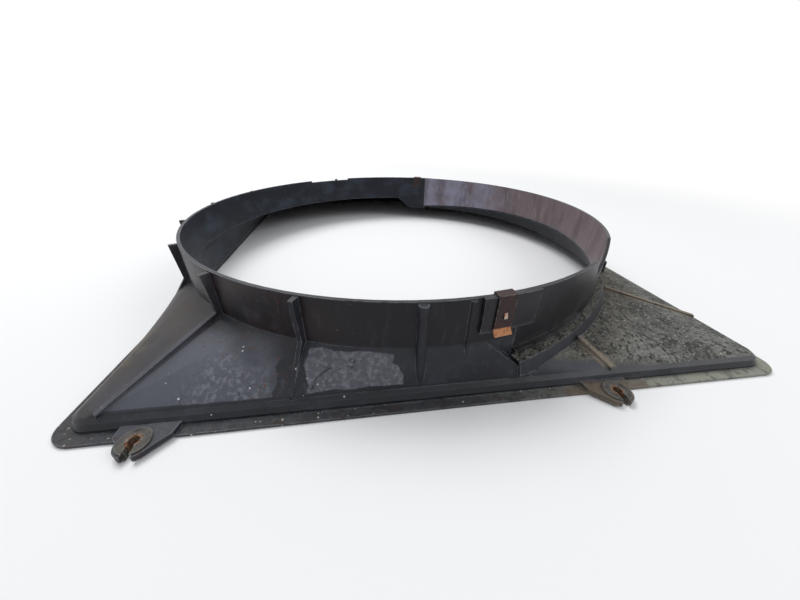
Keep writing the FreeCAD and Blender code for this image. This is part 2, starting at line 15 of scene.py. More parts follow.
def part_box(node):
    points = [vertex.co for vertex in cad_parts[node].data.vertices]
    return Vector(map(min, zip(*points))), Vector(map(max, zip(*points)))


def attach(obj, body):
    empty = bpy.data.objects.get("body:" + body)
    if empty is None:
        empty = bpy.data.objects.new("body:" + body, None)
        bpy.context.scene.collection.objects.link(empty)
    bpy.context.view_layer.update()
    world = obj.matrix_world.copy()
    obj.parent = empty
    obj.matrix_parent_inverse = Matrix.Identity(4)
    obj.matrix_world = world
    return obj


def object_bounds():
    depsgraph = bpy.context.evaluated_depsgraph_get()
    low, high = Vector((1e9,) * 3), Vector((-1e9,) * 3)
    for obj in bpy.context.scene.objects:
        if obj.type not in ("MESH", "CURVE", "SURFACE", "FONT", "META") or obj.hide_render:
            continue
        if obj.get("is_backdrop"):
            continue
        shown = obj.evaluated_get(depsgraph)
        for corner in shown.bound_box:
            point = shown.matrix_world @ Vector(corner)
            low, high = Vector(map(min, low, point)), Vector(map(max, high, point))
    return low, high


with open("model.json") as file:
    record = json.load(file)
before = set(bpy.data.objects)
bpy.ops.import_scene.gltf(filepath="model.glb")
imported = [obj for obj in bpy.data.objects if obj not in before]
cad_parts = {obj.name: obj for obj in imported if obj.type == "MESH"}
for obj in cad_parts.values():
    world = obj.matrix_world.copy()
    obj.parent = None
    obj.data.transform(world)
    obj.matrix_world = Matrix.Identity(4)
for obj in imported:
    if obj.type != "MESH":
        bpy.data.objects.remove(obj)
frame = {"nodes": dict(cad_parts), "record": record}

log = logging.getLogger("fan_shroud")
MM = 0.001
EDGE_ROUND = 0.0003
RAY_SAMPLES = 3


def linear(colour: str) -> tuple[float, float, float, float]:
    """Turn an sRGB hex colour into linear light.

    Args:
        colour: The colour as "#rrggbb".

    Returns:
        Red, green, blue and an alpha of 1, all linear.
    """
    channels = [int(colour[k:k + 2], 16) / 255 for k in (1, 3, 5)]
    bent = [c / 12.92 if c <= 0.04045 else ((c + 0.055) / 1.055) ** 2.4 for c in channels]
    return bent[0], bent[1], bent[2], 1.0


def add_node(tree: bpy.types.NodeTree, kind: str, inputs: dict[int | str, Any] | None = None,
             **settings: Any) -> bpy.types.Node:
    """Add a shader node with its settings, values and links.

    Args:
        tree: The node tree that gets the node.
        kind: The node's type without its ShaderNode prefix.
        inputs: Values, or sockets to link from, by input name or number.
        settings: The node's own properties.

    Returns:
        The new node.
    """
    node = tree.nodes.new("ShaderNode" + kind)
    for name, value in settings.items():
        setattr(node, name, value)
    for name, value in (inputs or {}).items():
        if isinstance(value, bpy.types.NodeSocket):
            tree.links.new(value, node.inputs[name])
        else:
            node.inputs[name].default_value = value
    return node


def ring_centre() -> Vector:
    """Give the fan ring's axis, which the record's first fan opening is centred on."""
    low, high = (Vector(c) for c in frame["record"]["physics"]["openings"][0]["box_m"])
    return Vector(((low.x + high.x) / 2, (low.y + high.y) / 2, 0.0))


class Axis(Enum):
    """The directions in which a finish changes over the shroud."""

    X = "x"
    Y = "y"
    Z = "z"
    RADIUS = "distance from the fan's axis"
    TURN = "degrees round the fan's axis"
    RISE = "how far the face looks up"
    OUTWARD = "how far the face looks away from the fan's axis"


class Canvas:
    """One material's node tree, with the coordinates that its patterns start from."""

    def __init__(self, name: str) -> None:
        """Start an empty material.

        Args:
            name: The material's name.
        """
        self.material = bpy.data.materials.new(name)
        self.material.use_nodes = True
        self.tree = self.material.node_tree
        self.tree.nodes.clear()
        self.place = add_node(self.tree, "TexCoord").outputs["Object"]
        self.normal = add_node(self.tree, "NewGeometry").outputs["Normal"]
        self.known: dict[Axis, bpy.types.NodeSocket] = {}

    def along(self, axis: Axis) -> bpy.types.NodeSocket:
        """Give one coordinate of the shaded point.

        Args:
            axis: The coordinate wanted.

        Returns:
            A socket in metres, degrees or, for the face's direction, from -1 to 1.
        """
        if not self.known:
            parts = add_node(self.tree, "SeparateXYZ", {0: self.place}).outputs
            spoke = add_node(self.tree, "VectorMath", {0: self.place, 1: ring_centre()},
                             operation="SUBTRACT").outputs[0]
            level = add_node(self.tree, "VectorMath", {0: spoke, 1: (1, 1, 0)},
                             operation="MULTIPLY").outputs[0]
            flat = add_node(self.tree, "SeparateXYZ", {0: level}).outputs
            turn = add_node(self.tree, "Math", {0: flat[1], 1: flat[0]}, operation="ARCTAN2")
            away = add_node(self.tree, "VectorMath", {0: level}, operation="NORMALIZE").outputs[0]
            self.known = {
                Axis.X: parts[0], Axis.Y: parts[1], Axis.Z: parts[2],
                Axis.RADIUS: add_node(self.tree, "VectorMath", {0: level},
                                      operation="LENGTH").outputs["Value"],
                Axis.TURN: add_node(self.tree, "Math", {0: turn.outputs[0]},
                                    operation="DEGREES").outputs[0],
                Axis.RISE: add_node(self.tree, "SeparateXYZ", {0: self.normal}).outputs[2],
                Axis.OUTWARD: add_node(self.tree, "VectorMath", {0: self.normal, 1: away},
                                       operation="DOT_PRODUCT").outputs["Value"],
            }
        return self.known[axis]

    def stretched(self, stretch: tuple[float, float, float], lean: float) -> bpy.types.NodeSocket:
        """Give the place with a pattern's grain drawn out.

        Args:
            stretch: How much longer the grain is along its own x, y and z.
            lean: The grain's turn about z, in degrees.

        Returns:
            The socket of the changed coordinates.
        """
        if stretch == (1, 1, 1):
            return self.place
        turned = add_node(self.tree, "Mapping", {"Vector": self.place,
                                                 "Rotation": (0, 0, math.radians(-lean))})
        return add_node(self.tree, "VectorMath", {0: turned.outputs[0], 1: stretch},
                        operation="DIVIDE").outputs[0]

    def product(self, sockets: list[bpy.types.NodeSocket]) -> bpy.types.NodeSocket:
        """Multiply masks.

        Args:
            sockets: The masks, at least one.

        Returns:
            The socket where all of them hold.
        """
        held = sockets[0]
        for other in sockets[1:]:
            held = add_node(self.tree, "Math", {0: held, 1: other},
                            operation="MULTIPLY").outputs[0]
        return held


@dataclass(frozen=True)
class Mask:
    """A pattern from 0 to 1 over the surface."""

    def draw(self, canvas: Canvas) -> bpy.types.NodeSocket:
        """Add the pattern's nodes.

        Args:
            canvas: The material that gets them.

        Returns:
            The pattern's socket.
        """
        raise NotImplementedError


@dataclass(frozen=True)
class Span(Mask):
    """A stretch of one coordinate with soft and, where wanted, ragged margins."""

    axis: Axis
    start: float
    end: float
    blur: float
    ragged: float = 0.0
    ragged_mm: float = 30.0
    ragged_detail: float = 5.0

    def draw(self, canvas: Canvas) -> bpy.types.NodeSocket:
        """Draw the window between start and end.

        Args:
            canvas: The material that gets it.

        Returns:
            The pattern's socket.
        """
        at = canvas.along(self.axis)
        tree = canvas.tree
        if self.ragged:
            noise = add_node(tree, "TexNoise", {"Vector": canvas.place,
                                                "Detail": self.ragged_detail,
                                                "Scale": 1 / (self.ragged_mm * MM)})
            at = add_node(tree, "Math", {0: noise.outputs[0], 1: 2 * self.ragged, 2: at},
                          operation="MULTIPLY_ADD").outputs[0]
            at = add_node(tree, "Math", {0: at, 1: self.ragged}, operation="SUBTRACT").outputs[0]
        sides = [add_node(tree, "MapRange", {"Value": at, "From Min": edge - slope / 2,
                                             "From Max": edge + slope / 2},
                          interpolation_type="SMOOTHSTEP").outputs[0]
                 for edge, slope in ((self.start, self.blur), (self.end, -self.blur))]
        return canvas.product(sides)


@dataclass(frozen=True)
class Cloud(Mask):
    """Cloudy patches, soft or sharply bounded."""

    size_mm: float
    low: float = 0.4
    high: float = 0.65
    seed: float = 0.0
    detail: float = 6.0
    stretch: tuple[float, float, float] = (1, 1, 1)
    lean: float = 0.0
    harshness: float = 0.62

    def draw(self, canvas: Canvas) -> bpy.types.NodeSocket:
        """Draw the patches.

        Args:
            canvas: The material that gets it.

        Returns:
            The pattern's socket.
        """
        noise = add_node(canvas.tree, "TexNoise",
                         {"Vector": canvas.stretched(self.stretch, self.lean), "W": self.seed,
                          "Scale": 1 / (self.size_mm * MM), "Detail": self.detail,
                          "Roughness": self.harshness}, noise_dimensions="4D")
        return add_node(canvas.tree, "MapRange",
                        {"Value": noise.outputs[0], "From Min": self.low, "From Max": self.high},
                        interpolation_type="SMOOTHSTEP").outputs[0]


@dataclass(frozen=True)
class Specks(Mask):
    """Grains, pits, splashes or, drawn out, scratches."""

    size_mm: float
    radius: float = 0.3
    share: float = 0.5
    seed: float = 0.0
    stretch: tuple[float, float, float] = (1, 1, 1)
    lean: float = 0.0
    solid_share: float = 0.5

    def draw(self, canvas: Canvas) -> bpy.types.NodeSocket:
        """Draw the specks.

        Args:
            canvas: The material that gets it.

        Returns:
            The pattern's socket.
        """
        tree = canvas.tree
        cells = add_node(tree, "TexVoronoi",
                         {"Vector": canvas.stretched(self.stretch, self.lean), "W": self.seed,
                          "Scale": 1 / (self.size_mm * MM)}, voronoi_dimensions="4D")
        spot = add_node(tree, "MapRange",
                        {"Value": cells.outputs["Distance"], "From Min": self.radius,
                         "From Max": self.radius * self.solid_share},
                        interpolation_type="SMOOTHSTEP").outputs[0]
        chance = add_node(tree, "SeparateColor", {0: cells.outputs["Color"]}).outputs[0]
        kept = add_node(tree, "Math", {0: chance, 1: self.share}, operation="LESS_THAN").outputs[0]
        return canvas.product([spot, kept])


@dataclass(frozen=True)
class Hairlines(Mask):
    """A net of thin lines, as stress lines or dried runs leave it."""

    size_mm: float
    width: float = 0.02
    seed: float = 0.0
    bend_mm: float = 18.0
    bend: float = 0.02

    def draw(self, canvas: Canvas) -> bpy.types.NodeSocket:
        """Draw the lines.

        Args:
            canvas: The material that gets it.

        Returns:
            The pattern's socket.
        """
        tree = canvas.tree
        bend = add_node(tree, "TexNoise", {"Vector": canvas.place, "Scale": 1 / (self.bend_mm * MM)})
        moved = add_node(tree, "VectorMath", {0: bend.outputs["Color"], 1: (self.bend,) * 3,
                                              2: canvas.place}, operation="MULTIPLY_ADD")
        net = add_node(tree, "TexVoronoi",
                       {"Vector": moved.outputs[0], "W": self.seed,
                        "Scale": 1 / (self.size_mm * MM)},
                       voronoi_dimensions="4D", feature="DISTANCE_TO_EDGE")
        return add_node(tree, "MapRange", {"Value": net.outputs["Distance"],
                                           "From Min": self.width, "From Max": 0.0}).outputs[0]


@dataclass(frozen=True)
class Edges(Mask):
    """Arrises, where handling rubs the surface pale, and on the mouldings a painted highlight."""

    radius_mm: float = 1.5
    low: float = 0.02
    high: float = 0.25

    def draw(self, canvas: Canvas) -> bpy.types.NodeSocket:
        """Draw the worn edges.

        Args:
            canvas: The material that gets it.

        Returns:
            The pattern's socket.
        """
        tree = canvas.tree
        rounded = add_node(tree, "Bevel", {"Radius": self.radius_mm * MM}, samples=RAY_SAMPLES)
        same = add_node(tree, "VectorMath", {0: rounded.outputs[0], 1: canvas.normal},
                        operation="DOT_PRODUCT").outputs["Value"]
        return add_node(tree, "MapRange", {"Value": same, "From Min": 1 - self.low,
                                           "From Max": 1 - self.high}).outputs[0]


@dataclass(frozen=True)
class Corners(Mask):
    """Inner corners, where dust and grime stay."""

    reach_mm: float = 14.0
    low: float = 0.75
    high: float = 0.35

    def draw(self, canvas: Canvas) -> bpy.types.NodeSocket:
        """Draw the sheltered corners.

        Args:
            canvas: The material that gets it.

        Returns:
            The pattern's socket.
        """
        tree = canvas.tree
        shade = add_node(tree, "AmbientOcclusion", {"Distance": self.reach_mm * MM},
                         samples=RAY_SAMPLES, only_local=True)
        return add_node(tree, "MapRange", {"Value": shade.outputs["AO"], "From Min": self.low,
                                           "From Max": self.high},
                        interpolation_type="SMOOTHSTEP").outputs[0]


@dataclass(frozen=True)
class Layer:
    """One colour laid over the ones before it, where all its masks hold."""

    colour: str
    masks: tuple[Mask, ...]
    strength: float = 1.0
    roughness: float | None = None


@dataclass(frozen=True)
class Relief:
    """One pattern of bumps, or of pits with a height below zero."""

    masks: tuple[Mask, ...]
    height_mm: float


@dataclass(frozen=True)
class Finish:
    """A material and how its surface was made."""

    name: str
    colour: str
    roughness: float
    metallic: float = 0.0
    ior: float = 1.5
    specular: float = 0.5
    layers: tuple[Layer, ...] = ()
    reliefs: tuple[Relief, ...] = ()

    def material(self) -> bpy.types.Material:
        """Build the material.

        Returns:
            The finished material, with colour, roughness and bumps from its layers.
        """
        canvas = Canvas(self.name)
        tree = canvas.tree
        shader = add_node(tree, "BsdfPrincipled", {"Metallic": self.metallic})
        if self.metallic == 0.0:
            shader.inputs["IOR"].default_value = self.ior
            shader.inputs["Specular IOR Level"].default_value = self.specular
        colour: Any = linear(self.colour)
        roughness: Any = self.roughness
        for layer in self.layers:
            held = canvas.product([mask.draw(canvas) for mask in layer.masks])
            held = add_node(tree, "Math", {0: held, 1: layer.strength},
                            operation="MULTIPLY").outputs[0]
            colour = add_node(tree, "Mix", {0: held, 6: colour, 7: linear(layer.colour)},
                              data_type="RGBA").outputs[2]
            if layer.roughness is not None:
                roughness = add_node(tree, "Mix", {0: held, 2: roughness, 3: layer.roughness},
                                     data_type="FLOAT").outputs[0]
        height: Any = 0.0
        for relief in self.reliefs:
            held = canvas.product([mask.draw(canvas) for mask in relief.masks])
            height = add_node(tree, "Math", {0: held, 1: relief.height_mm * MM, 2: height},
                              operation="MULTIPLY_ADD").outputs[0]
        bump = add_node(tree, "Bump", {"Height": height, "Distance": 1.0, "Strength": 1.0})
        for name, value in (("Base Color", colour), ("Roughness", roughness),
                            ("Normal", bump.outputs[0])):
            if isinstance(value, bpy.types.NodeSocket):
                tree.links.new(value, shader.inputs[name])
            else:
                shader.inputs[name].default_value = value
        add_node(tree, "OutputMaterial", {"Surface": shader.outputs[0]})
        return canvas.material


# The shroud's regions: lengths in metres, turns in degrees, facing from -1 to 1.
OUTSIDE_RING = Span(Axis.RADIUS, 0.3515, 2.0, 0.001)
RING_WALL = Span(Axis.RADIUS, 0.343, 0.353, 0.001)
FACING_OUT = Span(Axis.OUTWARD, 0.4, 2.0, 0.3)
FACING_IN = Span(Axis.OUTWARD, -2.0, -0.4, 0.3)
FACING_UP = Span(Axis.RISE, 0.8, 2.0, 0.2)
ABOVE_DOME = Span(Axis.Z, 0.062, 1.0, 0.006)
FLANGE = Span(Axis.Z, -1.0, 0.0042, 0.0015)
PLATEAU = (Span(Axis.X, 0.045, 1.0, 0.03, 0.008), Span(Axis.RISE, 0.9, 2.0, 0.1),
           Span(Axis.Z, 0.012, 1.0, 0.006), OUTSIDE_RING)
FIRST_MARK = (Span(Axis.TURN, -111.0, -97.0, 0.4, 5.0, 40),
              Span(Axis.Z, 0.0205, 0.0575, 0.0012, 0.005), OUTSIDE_RING)
ON_DOME = Span(Axis.Z, 0.0185, 1.0, 0.001, 0.001)
SHOULDER = (Span(Axis.Z, 0.003, 0.0175, 0.003), Span(Axis.RISE, -0.5, 0.85, 0.2))


@dataclass(frozen=True)
class MouldedPolyamide(Finish):
    """Glass-filled polyamide 6, injection moulded, after years of heat, dust and wet.

    The eye gets a satin charcoal that has chalked in clouds, with grey arrises, partly a
    painted highlight, a ring wall painted near black as painted shade, dried water
    marks and a gritty, pitted deck on the low side.
    """

    name: str = "polyamide_weathered_and_painted_shade"
    colour: str = "#25262c"
    roughness: float = 0.42
    ior: float = 1.53
    # Dust and chalk take away half of the clean resin's gloss.
    specular: float = 0.24
    layers: tuple[Layer, ...] = (
        # Chalking: the resin's skin fades in clouds about a hand wide.
        Layer("#3d3f47", (Cloud(120, 0.38, 0.66, 1.0),), 0.8, 0.52),
        Layer("#1b1b20", (Cloud(34, 0.5, 0.66, 2.0),), 0.6, 0.4),
        Layer("#4e5057", (Cloud(7, 0.52, 0.68, 3.0),), 0.4, 0.6),
        # Painted shade: a darker band in clouds round the foot of the ring wall, where the wall meets
        # the moulding outside it.
        Layer("#15151a", (Span(Axis.RADIUS, 0.352, 0.372, 0.02, 0.006), Cloud(30, 0.2, 0.6, 23.0)),
              0.7),
        # The brown side: road dust on the facets left of the second corner rib.
        Layer("#433d39", (Span(Axis.TURN, -171, -131.5, 1.5), OUTSIDE_RING, Cloud(60, 0.3, 0.6, 4.0)),
              0.75, 0.62),
        Layer("#7d725f", (Span(Axis.TURN, -178, -138, 8), Span(Axis.RADIUS, 0.41, 0.64, 0.05, 0.03),
                          Cloud(26, 0.44, 0.62, 5.0)), 0.7, 0.75),
        # The fixed ring's outer wall: painted shade, nearly black, on the wall that faces away from the
        # light.
        Layer("#0f0e12", (RING_WALL, FACING_OUT, ABOVE_DOME), 0.95, 0.42),
        Layer("#261c1e", (RING_WALL, FACING_OUT, ABOVE_DOME, Span(Axis.TURN, -137, -106, 14),
                          Cloud(40, 0.3, 0.6, 6.0)), 0.8, 0.45),
        Layer("#0f0f16", (RING_WALL, FACING_OUT, ABOVE_DOME, Span(Axis.TURN, -95, -70, 6)), 0.8, 0.36),
        Layer("#39383d", (RING_WALL, FACING_OUT, ABOVE_DOME,
                          Cloud(9, 0.52, 0.7, 7.0, stretch=(1, 1, 4))), 0.35, 0.55),
        Layer("#6b5a50", (RING_WALL, FACING_OUT, ABOVE_DOME, Span(Axis.TURN, -136, -104, 10),
                          Specks(4.0, 0.3, 0.3, 13.0)), 0.6, 0.7),
        # Its inner wall: painted shade, navy black, on the wall that faces away from the light, with
        # cloudy smears.
        Layer("#151922", (RING_WALL, FACING_IN), 0.95, 0.42),
        Layer("#343b46", (RING_WALL, FACING_IN, Cloud(52, 0.45, 0.68, 8.0, stretch=(1, 1, 0.6))),
              0.75, 0.58),
        Layer("#0f1116", (RING_WALL, FACING_IN, Cloud(20, 0.52, 0.68, 9.0, stretch=(1, 1, 3))),
              0.6, 0.38),
        # The low deck: grit baked on, grey, with black pits and pale grains.
        Layer("#5c5d59", PLATEAU, 0.92, 0.85),
        Layer("#7b7c77", PLATEAU + (Cloud(48, 0.45, 0.62, 10.0),), 0.7, 0.85),
        Layer("#6a6459", PLATEAU + (Span(Axis.RADIUS, 0.35, 0.41, 0.04, 0.01),), 0.55, 0.85),
        Layer("#2e302f", PLATEAU + (Cloud(20, 0.5, 0.6, 11.0),), 0.7, 0.8),
        Layer("#95958e", PLATEAU + (Cloud(3.2, 0.52, 0.62, 24.0, 3.0),), 0.6, 0.8),
        Layer("#111213", PLATEAU + (Cloud(4.5, 0.56, 0.6, 25.0, 3.0),), 0.85, 0.6),
        Layer("#0f1011", PLATEAU + (Specks(6.5, 0.46, 0.6, 1.0),), 0.9, 0.55),
        Layer("#17181a", PLATEAU + (Specks(3.6, 0.42, 0.3, 2.0),), 0.85, 0.6),
        Layer("#c4c2b6", PLATEAU + (Specks(3.6, 0.36, 0.14, 3.0),), 0.85, 0.8),
        Layer("#8a7f6e", (Span(Axis.TURN, -35.4, -33.6, 0.5, 0.3), Span(Axis.RADIUS, 0.36, 1.0, 0.01),
                          Span(Axis.Z, 0.016, 1.0, 0.004), Cloud(6, 0.3, 0.5, 26.0)), 0.85, 0.8),
        Layer("#8a7f6e", (Span(Axis.TURN, -61.5, -59.5, 0.5, 0.3), Span(Axis.RADIUS, 0.37, 1.0, 0.01),
                          Span(Axis.Z, 0.016, 1.0, 0.004), Cloud(6, 0.3, 0.5, 27.0)), 0.85, 0.8),
        # The shoulder stays dark, smooth and a little wet to look at.
        Layer("#16181d", SHOULDER, 0.8, 0.3),
        Layer("#43464f", SHOULDER + (Cloud(46, 0.5, 0.66, 12.0, stretch=(2, 1, 1)),), 0.6, 0.4),
        # The flange, scuffed mid grey, paler on the low side.
        Layer("#414244", (FLANGE, Cloud(30, 0.25, 0.6, 13.0)), 0.85, 0.66),
        Layer("#8f9084", (FLANGE, Span(Axis.X, 0.12, 1.0, 0.3, 0.03), Cloud(22, 0.2, 0.5, 14.0)),
              0.9, 0.78),
        Layer("#1e1f22", (FLANGE, Cloud(9, 0.52, 0.62, 15.0)), 0.6, 0.6),
        Layer("#b9b8b0", (FLANGE, Specks(4.2, 0.34, 0.3, 4.0)), 0.8, 0.8),
        # Dried water: pale patches with a hard margin and lime specks.
        Layer("#5d5e66", FIRST_MARK, 0.85, 0.66),
        Layer("#84858b", FIRST_MARK + (Cloud(5, 0.46, 0.62, 16.0),), 0.55, 0.72),
        Layer("#5a5c66", (Span(Axis.TURN, -132, -110, 7), Span(Axis.TURN, -140, -115.6, 0.3, 2.4, 30),
                          Span(Axis.RADIUS, 0.37, 0.50, 0.04, 0.03), ON_DOME,
                          Cloud(60, 0.2, 0.5, 28.0)), 0.8, 0.6),
        Layer("#85878e", (Span(Axis.TURN, -125, -110, 6), Span(Axis.TURN, -140, -115.6, 0.3, 2.4, 30),
                          Span(Axis.RADIUS, 0.385, 0.48, 0.03, 0.02), ON_DOME,
                          Cloud(5, 0.46, 0.62, 17.0)), 0.55, 0.7),
        Layer("#dcdddb", (Span(Axis.TURN, -130, -97, 4.0), Span(Axis.RADIUS, 0.37, 0.5, 0.01),
                          OUTSIDE_RING, Specks(5.0, 0.26, 0.16, 5.0)), 0.85, 0.8),
        # Rusty dust swept into the feet of the corner ribs.
        Layer("#5f3a2b", (Span(Axis.TURN, -142, -114, 6), Span(Axis.RADIUS, 0.35, 0.40, 0.012, 0.01),
                          Specks(3.6, 0.44, 0.5, 6.0)), 0.75, 0.85),
        # Scuffs: short white paint marks, long pale scratches and dark stress lines.
        Layer("#e2e3e4", (Span(Axis.TURN, -136, -121, 2), Span(Axis.RADIUS, 0.47, 0.56, 0.02),
                          Specks(10.0, 0.2, 0.35, 7.0, stretch=(1, 0.2, 1), lean=60)), 0.85, 0.7),
        Layer("#a3a5aa", (OUTSIDE_RING, Span(Axis.X, -1.0, 0.05, 0.02),
                          Specks(14.0, 0.05, 0.22, 8.0, stretch=(5, 0.35, 1), lean=28)), 0.55, 0.6),
        Layer("#0c0c10", (OUTSIDE_RING, Span(Axis.TURN, -131, -99, 3), Hairlines(64, 0.007, 1.0),
                          Cloud(50, 0.5, 0.56, 18.0)), 0.8, 0.5),
        # Mounting ears at the near edge, tan with rust from the bolts.
        Layer("#6a5e50", (Span(Axis.Y, -1.0, -0.462, 0.01, 0.004), Span(Axis.X, 0.11, 0.21, 0.01),
                          Cloud(12, 0.25, 0.5, 19.0)), 0.85, 0.8),
        Layer("#3f2a20", (Span(Axis.Y, -1.0, -0.462, 0.01, 0.006), Cloud(7, 0.55, 0.64, 20.0)),
              0.6, 0.85),
        # Dust in the corners, and arrises drawn pale: rubbed by handling, and partly a painted
        # highlight on the edges.
        Layer("#5f5b54", (Corners(12), Cloud(18, 0.35, 0.6, 21.0), FACING_UP), 0.45, 0.85),
        # Painted highlight on the arrises, laid over real rubbing.
        Layer("#84868b", (Edges(2.0), Cloud(12, 0.34, 0.56, 22.0)), 0.75, 0.5),
    )
    reliefs: tuple[Relief, ...] = (
        # Spark-eroded tool grain, about 0.6 mm apart, drawn at 1.4 mm so that it shows.
        Relief((Cloud(1.4, 0.3, 0.7, 31.0, 2.0),), 0.05),
        # Sink and warp of a large thin moulding.
        Relief((Cloud(90, 0.2, 0.8, 32.0, 2.0),), 1.6),
        Relief(PLATEAU + (Specks(6.5, 0.46, 0.6, 1.0),), -1.2),
        Relief(PLATEAU + (Cloud(3.2, 0.35, 0.65, 24.0, 3.0),), 0.7),
        Relief(PLATEAU + (Cloud(4.5, 0.5, 0.62, 25.0, 3.0),), -0.5),
        Relief((FLANGE, Cloud(5.0, 0.4, 0.65, 34.0, 4.0)), 0.5),
        Relief((OUTSIDE_RING, Specks(14.0, 0.05, 0.22, 8.0, stretch=(5, 0.35, 1), lean=28)), -0.1),
    )


@dataclass(frozen=True)
class SegmentPolyamide(Finish):
    """The lift-out segment: the same polyamide, moulded apart, its outside painted near black as
    painted shade.

    The eye gets a smoother wall outside, painted near black as painted shade, and a purple-brown,
    dust-filmed wall inside, in part painted lighter as painted light, with a painted blue highlight
    where the light skims it.
    """

    name: str = "polyamide_segment"
    # Near black outside: painted shade on the wall that faces away from the light.
    colour: str = "#101014"
    roughness: float = 0.36
    ior: float = 1.53
    specular: float = 0.26
    layers: tuple[Layer, ...] = (
        Layer("#1f1f25", (Cloud(60, 0.42, 0.66, 1.5),), 0.7, 0.44),
        Layer("#45433f", (FACING_OUT, Span(Axis.Z, 0.0, 0.07, 0.03, 0.01), Span(Axis.TURN, -60, 10, 24),
                          Cloud(14, 0.46, 0.62, 2.5)), 0.6, 0.66),
        Layer("#54555a", (FACING_OUT, Specks(5.5, 0.22, 0.2, 9.0)), 0.6, 0.7),
        # Inside: a film of brake and road dust, brown, painted lighter as painted light where the light
        # falls on the wall, with a painted blue highlight.
        Layer("#74676a", (FACING_IN,), 0.92, 0.42),
        # Painted highlight: a blue sheen on the inner wall from 34 to 80 degrees round the axis.
        Layer("#9294ab", (FACING_IN, Span(Axis.TURN, 34, 80, 26), Cloud(46, 0.3, 0.62, 3.5)),
              0.8, 0.32),
        Layer("#51464a", (FACING_IN, Cloud(30, 0.46, 0.66, 4.5, stretch=(1, 1, 3))), 0.65, 0.55),
        Layer("#968a87", (FACING_IN, Cloud(7, 0.54, 0.7, 5.5, stretch=(1, 1, 5))), 0.5, 0.6),
        Layer("#4c4c50", (Span(Axis.Z, 0.05, 0.075, 0.01), Span(Axis.RADIUS, 0.3512, 1.0, 0.001)),
              0.6, 0.6),
        # Arrises drawn pale: rubbed by handling, and partly a painted highlight on the edges.
        Layer("#85868a", (Edges(1.5), Cloud(10, 0.36, 0.6, 6.5)), 0.7, 0.5),
        Layer("#6b665d", (Corners(12), Cloud(16, 0.35, 0.6, 7.5)), 0.4, 0.85),
    )
    reliefs: tuple[Relief, ...] = (
        Relief((Cloud(1.4, 0.3, 0.7, 41.0, 2.0),), 0.04),
        Relief((Cloud(70, 0.2, 0.8, 42.0, 2.0),), 0.9),
        Relief((Cloud(8, 0.4, 0.7, 43.0, 3.0, stretch=(1, 1, 4)),), 0.08),
    )


@dataclass(frozen=True)
class SpringSteel(Finish):
    """Spring steel strip, stamped and bent, its thin zinc gone to rust.

    The eye gets a dark red-brown skin, orange where it flakes and bare pale metal at the lip.
    """

    name: str = "spring_steel_rusted"
    colour: str = "#241719"
    roughness: float = 0.6
    metallic: float = 0.25
    layers: tuple[Layer, ...] = (
        Layer("#43261e", (Cloud(5, 0.48, 0.62, 1.2),), 0.7, 0.75),
        Layer("#c98a5e", (Span(Axis.Z, 0.0, 0.0785, 0.002, 0.001, 6), Cloud(4, 0.25, 0.5, 2.2)),
              0.85, 0.75),
        Layer("#8f5a3a", (Specks(2.4, 0.4, 0.25, 10.0),), 0.5, 0.85),
        Layer("#b9aea2", (Edges(0.8, 0.02, 0.2), Cloud(4, 0.4, 0.6, 3.2)), 0.8, 0.4),
    )
    reliefs: tuple[Relief, ...] = (
        Relief((Cloud(1.2, 0.35, 0.65, 51.0, 4.0),), 0.12),
        Relief((Specks(2.4, 0.4, 0.5, 10.0),), 0.1),
    )


@dataclass(frozen=True)
class TabSteel(Finish):
    """The lanced tab of a spring clip, its cut face still bare.

    The eye gets a small pale glint with salmon rust round it.
    """

    name: str = "spring_steel_sheared"
    colour: str = "#b7aca0"
    roughness: float = 0.42
    metallic: float = 0.6
    layers: tuple[Layer, ...] = (
        Layer("#a8714c", (Cloud(3, 0.46, 0.6, 1.6),), 0.8, 0.75),
        Layer("#5c3a2c", (Specks(1.4, 0.4, 0.3, 14.0),), 0.7, 0.8),
    )
    reliefs: tuple[Relief, ...] = (Relief((Cloud(0.9, 0.35, 0.65, 81.0, 3.0),), 0.05),)


@dataclass(frozen=True)
class GrommetRubber(Finish):
    """EPDM rubber, compression moulded, hardened and bloomed.

    The eye gets a matt dark grey with a pale bloom round the lips and fine cracks.
    """

    name: str = "epdm_moulded"
    colour: str = "#2d2c2c"
    roughness: float = 0.82
    ior: float = 1.52
    layers: tuple[Layer, ...] = (
        Layer("#5b5954", (Cloud(8, 0.36, 0.58, 1.3),), 0.8, 0.9),
        Layer("#9a988f", (Edges(1.6, 0.02, 0.3), Cloud(6, 0.25, 0.5, 2.3)), 0.85, 0.9),
        Layer("#6a4b34", (Specks(2.6, 0.4, 0.3, 11.0),), 0.6, 0.9),
        Layer("#141414", (Hairlines(6, 0.03, 2.0),), 0.7, 0.9),
    )
    reliefs: tuple[Relief, ...] = (
        Relief((Cloud(1.0, 0.35, 0.65, 61.0, 3.0),), 0.08),
        Relief((Hairlines(6, 0.03, 2.0),), -0.12),
    )


@dataclass(frozen=True)
class SleeveSteel(Finish):
    """Mild steel tube, rolled with an open seam, its zinc spent.

    The eye gets tan-orange rust over dull grey metal.
    """

    name: str = "mild_steel_rolled"
    colour: str = "#6d6660"
    roughness: float = 0.55
    metallic: float = 0.7
    layers: tuple[Layer, ...] = (
        Layer("#7d5a40", (Cloud(4, 0.36, 0.56, 1.4),), 0.9, 0.85),
        Layer("#4a2a1c", (Cloud(2.4, 0.5, 0.64, 2.4),), 0.8, 0.9),
        Layer("#b08a62", (Specks(1.6, 0.4, 0.35, 12.0),), 0.7, 0.85),
    )
    reliefs: tuple[Relief, ...] = (Relief((Cloud(1.0, 0.35, 0.65, 71.0, 4.0),), 0.12),)


